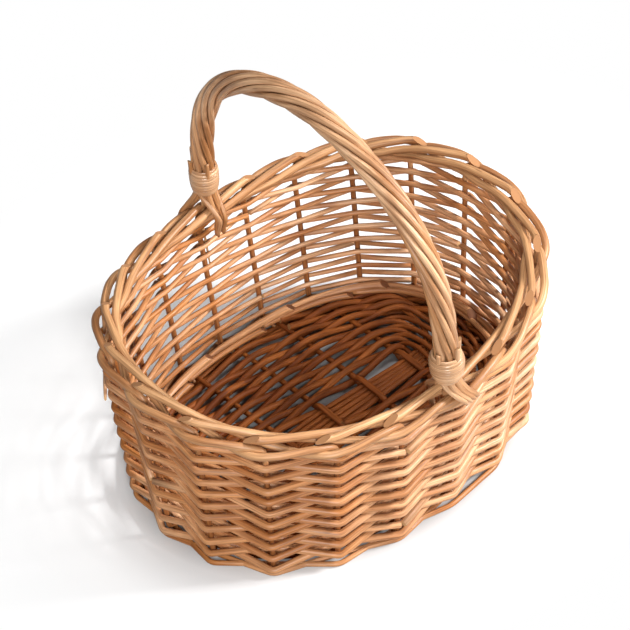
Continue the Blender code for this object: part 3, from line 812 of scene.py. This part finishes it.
# Handle strands
# Eight rods are laid round the bow in a slow twist. At both feet they spread
# below the binding: some over the border outside, some down inside the wall.
handle_rod = willow(
    "handle_rod", pale=(0.83, 0.560, 0.345), deep=(0.53, 0.260, 0.105),
    shade=(0.30, 0.110, 0.032), cut_colour=(0.46, 0.28, 0.14), roughness=0.40)
STRANDS = 8
STRAND = 0.0029
RING = 0.0082  # from the bow's middle to a strand's middle
TWISTS = 2.25
SPAN = 0.1620  # from the basket's middle to each handle foot
ARCH_FOOT = 0.1748
ARCH_RISE = 0.2130
ARCH_SIDES = 1.145  # powers that make the arch fuller than half an ellipse
ARCH_TOP = 0.58
ARCH_POINTS = 121
FINE_POINTS = 2000
BINDING_BOTTOM = 0.1890
BINDING_TOP = 0.2200
LAID_ROD = 0.0033  # radius of the border rod that a strand lies on
# Metres along the border, metres out from lying on it, and border rods up
OUTER_FOOT = ((0.0190, -0.0052, -1.9), (0.0165, -0.0014, -1.2), (0.0130, -0.0004, -0.3),
              (0.0070, -0.0038, 0.9))
FOOT_RADII = [0.0017, 0.0020, 0.0022, 0.0025, STRAND]
# Random tones with painted light and shade: palest over the top, darkest towards the far foot
HANDLE_TONES_AND_PAINTED_LIGHT = [(0.2, 1.1)] * 5 + [(0.0, 0.7)] * 5 + [(0.5, 1.2)] * 3


def arch():
    """Evenly spaced points on the handle's middle line, from binding to binding."""
    raw = []
    for i in range(FINE_POINTS + 1):
        turn = math.pi * i / FINE_POINTS
        c = math.cos(turn)
        s = max(0.0, math.sin(turn))
        raw.append((-SPAN * math.copysign(abs(c) ** ARCH_SIDES, c),
                    ARCH_FOOT + ARCH_RISE * s ** ARCH_TOP))
    raw = np.array([p for p in raw if p[1] >= BINDING_TOP])
    lengths = lengths_along(raw)
    spots = np.linspace(0.0, lengths[-1], ARCH_POINTS)
    ys = np.interp(spots, lengths, raw[:, 0])
    zs = np.interp(spots, lengths, raw[:, 1])
    return [Vector((0.0, y, z)) for y, z in zip(ys, zs)]


def half_turn(spot):
    """The same point at the other foot of the handle."""
    return Vector((-spot.x, -spot.y, spot.z))


def place_along(distance):
    """Place at a short distance along the wall from the middle of the near side."""
    place = float(np.interp(distance % LENGTHS[-1], LENGTHS, PLACES))
    return place if distance >= 0.0 else place - STAKES


def strand_foot(angle):
    """Lower end of one strand at the near foot, from its tip up to the binding."""
    ring_x = RING * math.sin(angle)
    top_end = Vector((ring_x, -SPAN - RING * math.cos(angle), BINDING_BOTTOM))
    row = math.copysign(0.5 if abs(math.sin(angle)) < 0.7 else 1.5, ring_x)
    if math.cos(angle) > 0.0:
        # Outer strands cross the border on a slant and are tucked in below it
        over_border = 1.46 * BORDER_ROD + LAID_ROD + STRAND + GAP
        lean = 0.0042 * row
        return [on_border(place_along(lean + along), over_border + out, up * BORDER_ROD)
                for along, out, up in OUTER_FOOT] + [top_end]
    # Inner strands go down in a narrow bundle inside the wall
    layer = 2.0 * STRAND if abs(row) > 1.0 else 0.0
    over_wall = WEAVE_OUT + WEAVER + STRAND + GAP
    over_border = 1.42 * BORDER_ROD + LAID_ROD + STRAND
    place = place_along(math.copysign(STRAND + GAP, row))
    low = on_wall(place, -over_wall - 0.4 * layer, BORDER_HEIGHT - 3.4 * BORDER_ROD)
    middle = on_border(place, -over_border - 0.8 * layer, 0.0)
    return [low, low.lerp(middle, 0.5), middle, middle.lerp(top_end, 0.5), top_end]


line = arch()
last = ARCH_POINTS - 1
across = Vector((1.0, 0.0, 0.0))
for i in range(STRANDS):
    begin = math.tau * (i + 0.5) / STRANDS
    helix = []
    for n, here in enumerate(line):
        way = (line[min(n + 1, last)] - line[max(n - 1, 0)]).normalized()
        outward = across.cross(way)
        angle = begin - math.tau * TWISTS * n / last
        helix.append(here + (outward * math.cos(angle) + across * math.sin(angle)) * RING)
    far_foot = strand_foot(math.tau * TWISTS - begin)
    spots = strand_foot(begin) + helix + [half_turn(p) for p in reversed(far_foot)]
    thick = STRAND * luck.uniform(0.97, 1.05)
    radii = FOOT_RADII + [thick] * len(helix) + FOOT_RADII[::-1]
    run, sizes = smooth_run(spots, radii, 0.005)
    shades = tones_along(run, [luck.uniform(*span) for span in HANDLE_TONES_AND_PAINTED_LIGHT])
    bm = add_rod(bmesh.new(), run, sizes, shades, 4, cut=(0.6, 0.6))
    finish_piece("handle_rod_%d" % (i + 1), bm, handle_rod, "peeled_willow",
                 "handle_strand_%d" % (i + 1))


# Bindings
# At each foot the strands are bound with a skein, a rod split and shaved to a
# thin flat ribbon, wound nine times round and drawn tight under itself.
skein = willow(
    "skein", pale=(0.80, 0.530, 0.320), deep=(0.58, 0.305, 0.140), shade=(0.40, 0.180, 0.068),
    cut_colour=(0.7, 0.5, 0.3), roughness=0.24, scar=0.15, coat=0.5)
TURNS = 9
TURN_POINTS = 24
SKEIN = 0.0021
SKEIN_EDGE = 0.0026  # from the binding's edge to the middle of its first turn
SKEIN_THICKNESS = 0.60  # share of a round rod's
BINDING_CORE = 0.0110  # from the handle's middle to the first turn
BINDING_CLIMBS = (0.0, 0.12, 0.35, 0.7, 0.88, 1.0)
BINDING_BULGE = (0.0, 0.45, 0.85, 1.0, 0.8, 0.3)
WOUND = BINDING_TOP - BINDING_BOTTOM - 2.0 * SKEIN_EDGE
FIRST_TURN = 0.6  # angle at which the winding starts


def skein_radius(climb, fullness):
    """The binding bulges over its middle, fuller at the near foot."""
    return BINDING_CORE + fullness * float(np.interp(climb, BINDING_CLIMBS, BINDING_BULGE))


for name, node, side, fullness in (
        ("near_skein", "near_binding", -1.0, 0.0036), ("far_skein", "far_binding", 1.0, 0.0018)):
    points = []
    for n in range(TURNS * TURN_POINTS + 1):
        share = n / (TURNS * TURN_POINTS)
        angle = math.tau * TURNS * share * -side + FIRST_TURN
        climb = min(1.0, max(0.0, (share * TURNS - 0.5) / (TURNS - 1.0)))
        radius = skein_radius(climb, fullness)
        points.append((radius * math.cos(angle), side * SPAN + radius * math.sin(angle),
                       BINDING_BOTTOM + SKEIN_EDGE + WOUND * climb))
    bm = add_rod(bmesh.new(), np.array(points), np.full(len(points), SKEIN),
                 luck.uniform(0.1, 0.6))
    for vert in bm.verts:
        away = Vector((vert.co.x, vert.co.y - side * SPAN, 0.0))
        climb = min(1.0, max(0.0, (vert.co.z - BINDING_BOTTOM - SKEIN_EDGE) / WOUND))
        level = skein_radius(climb, fullness)
        away = away.normalized() * (level + (away.length - level) * SKEIN_THICKNESS)
        vert.co.x = away.x
        vert.co.y = side * SPAN + away.y
    finish_piece(name, bm, skein, "split_skein", node)


# Rod ends above the bindings
# A few thin rods are caught under each binding to fill it out. They are cut
# off just above it, so their ends stand round the strands.
END_BELOW = 0.014  # a rod end starts this far down inside the binding
LOW_OUT = 0.0112  # from the handle's middle at its lower and its upper end
HIGH_OUT = 0.0124
END_RADII = (0.0024, 0.0023, 0.0021)
# Angle round the handle, then height above the binding
ROD_ENDS = ((0.15, 0.013), (1.35, 0.010), (-1.3, 0.008), (2.8, 0.011))

for foot, side in (("near", -1.0), ("far", 1.0)):
    for number, (angle, reach) in enumerate(ROD_ENDS):
        out = Vector((-side * math.sin(angle), side * math.cos(angle), 0.0))
        low = Vector((0.0, side * SPAN, BINDING_TOP - END_BELOW)) + out * LOW_OUT
        high = Vector((0.0, side * SPAN, BINDING_TOP + reach)) + out * HIGH_OUT
        run, sizes = smooth_run([low, low.lerp(high, 0.5), high], END_RADII)
        bm = add_rod(bmesh.new(), run, sizes, luck.uniform(0.3, 1.0), cut=(0.0, 0.8),
                     cut_way=tuple(-out))
        finish_piece("%s_handle_end_%d" % (foot, number + 1), bm, handle_rod, "peeled_willow")


# Table and light
# The basket stands on a plain white table in soft light, brighter from the
# right and front, as in a small studio.
paper = bpy.data.materials.new("table_white")
paper.use_nodes = True
nodes = paper.node_tree.nodes
links = paper.node_tree.links
paper_shader = nodes["Principled BSDF"]
paper_shader.inputs["Roughness"].default_value = 0.9
paper_place = nodes.new("ShaderNodeTexCoord")
paper_path = nodes.new("ShaderNodeLightPath")
SHEET_OVAL = (4.5, 5.6, 1.0)  # one over the half length and half width of an oval of size 1
SHADOW_SHIFT = (-0.28, -0.44, 0.0)  # moves the ovals the other way, in their own size
SHEET_SIZE = 6.0


def seen_past(shift, inner, outer, fade_kind):
    """Rises from nought to one between two ovals round the basket, for the eye alone."""
    scale = nodes.new("ShaderNodeMapping")
    scale.inputs["Scale"].default_value = SHEET_OVAL
    scale.inputs["Location"].default_value = shift
    reach = nodes.new("ShaderNodeVectorMath")
    reach.operation = "LENGTH"
    fade = nodes.new("ShaderNodeMapRange")
    fade.interpolation_type = fade_kind
    fade.inputs["From Min"].default_value = inner
    fade.inputs["From Max"].default_value = outer
    share = nodes.new("ShaderNodeMath")
    share.operation = "MULTIPLY"
    links.new(paper_place.outputs["Object"], scale.inputs["Vector"])
    links.new(scale.outputs[0], reach.inputs[0])
    links.new(reach.outputs["Value"], fade.inputs["Value"])
    links.new(fade.outputs[0], share.inputs[0])
    links.new(paper_path.outputs["Is Camera Ray"], share.inputs[1])
    return share.outputs[0]


# To the eye the sheet is white outside the basket, and under it a painted shade of grey.
# The light that it throws back up is grey too, less than from a real one
paper_colour_and_painted_shade = nodes.new("ShaderNodeMix")
paper_colour_and_painted_shade.data_type = "RGBA"
paper_colour_and_painted_shade.inputs[6].default_value = (0.35, 0.35, 0.35, 1.0)
paper_colour_and_painted_shade.inputs[7].default_value = (0.95, 0.95, 0.95, 1.0)
# The grey inside the inner oval is painted shade under the basket, for the eye alone
links.new(seen_past((0.0, 0.0, 0.0), 0.80, 0.94, "LINEAR"), paper_colour_and_painted_shade.inputs[0])
links.new(paper_colour_and_painted_shade.outputs[2], paper_shader.inputs["Base Color"])
# Away from the basket the sheet is plain white, so only the soft shadow shows
paper_glow = nodes.new("ShaderNodeEmission")
paper_mix = nodes.new("ShaderNodeMixShader")
links.new(seen_past(SHADOW_SHIFT, 1.1, 2.1, "SMOOTHSTEP"), paper_mix.inputs[0])
links.new(paper_shader.outputs[0], paper_mix.inputs[1])
links.new(paper_glow.outputs[0], paper_mix.inputs[2])
links.new(paper_mix.outputs[0], nodes["Material Output"].inputs["Surface"])

bm = bmesh.new()
bmesh.ops.create_grid(bm, x_segments=1, y_segments=1, size=SHEET_SIZE)
table_mesh = bpy.data.meshes.new("table_top")
bm.to_mesh(table_mesh)
bm.free()
table_mesh.materials.append(paper)
table = bpy.data.objects.new("table_top", table_mesh)
bpy.context.collection.objects.link(table)

BASKET_MIDDLE = Vector((0.0, 0.0, 0.12))
for name, spot, size, power in (
        ("key_light", (2.7, -2.0, 2.35), 0.8, 225.0),
        ("front_light", (-2.2, -3.0, 2.5), 1.2, 160.0),
        ("top_light", (0.3, 0.2, 4.0), 1.2, 62.0)):
    lamp = bpy.data.lights.new(name, "AREA")
    lamp.size = size
    lamp.energy = power
    holder = bpy.data.objects.new(name, lamp)
    holder.location = spot
    holder.rotation_euler = (BASKET_MIDDLE - Vector(spot)).to_track_quat("-Z", "Y").to_euler()
    bpy.context.collection.objects.link(holder)

# The room is white to the eye and gives a faint even light
world = bpy.data.worlds.new("studio")
world.use_nodes = True
bpy.context.scene.world = world
sky = world.node_tree
seen = sky.nodes["Background"]
soft = sky.nodes.new("ShaderNodeBackground")
for background, strength in ((seen, 1.0), (soft, 0.08)):
    background.inputs["Color"].default_value = (1.0, 1.0, 1.0, 1.0)
    background.inputs["Strength"].default_value = strength
path = sky.nodes.new("ShaderNodeLightPath")
mix = sky.nodes.new("ShaderNodeMixShader")
sky.links.new(path.outputs["Is Camera Ray"], mix.inputs[0])
sky.links.new(soft.outputs[0], mix.inputs[1])
sky.links.new(seen.outputs[0], mix.inputs[2])
sky.links.new(mix.outputs[0], sky.nodes["World Output"].inputs["Surface"])


# Camera
# It looks down from the front left at about forty-six degrees, from far
# enough that the basket keeps its proportions.
AZIMUTH = math.radians(-38.40)
HEIGHT_ANGLE = math.radians(46.21)
ROLL = math.radians(-3.748)
FAR = 2.688
IMAGE = 630.0  # width and height in pixels
FILM = 36.0  # width in millimetres
FOCAL = 2978.0  # in pixels
CENTRE = (326.82, 352.26)  # where the target comes in the picture
target = Vector((0.0, 0.0, 0.096))
away = Vector((math.sin(AZIMUTH) * math.cos(HEIGHT_ANGLE),
               -math.cos(AZIMUTH) * math.cos(HEIGHT_ANGLE), math.sin(HEIGHT_ANGLE)))
level = Vector((math.cos(AZIMUTH), math.sin(AZIMUTH), 0.0))
rise = away.cross(level)
right = level * math.cos(ROLL) + rise * math.sin(ROLL)
top = rise * math.cos(ROLL) - level * math.sin(ROLL)
eye = target + away * FAR
aim = (target + right * ((IMAGE / 2.0 - CENTRE[0]) / FOCAL * FAR)
       + top * ((CENTRE[1] - IMAGE / 2.0) / FOCAL * FAR))
back = (eye - aim).normalized()
side_way = top.cross(back).normalized()
up_way = back.cross(side_way)
lens = bpy.data.cameras.new("camera")
lens.sensor_width = FILM
lens.lens = FOCAL / IMAGE * FILM
lens.clip_start = 0.05
lens.clip_end = 50.0
camera = bpy.data.objects.new("camera", lens)
camera.location = eye
camera.rotation_euler = Matrix((side_way, up_way, back)).transposed().to_euler()
bpy.context.collection.objects.link(camera)
bpy.context.scene.camera = camera
bpy.context.scene.view_settings.view_transform = "Standard"
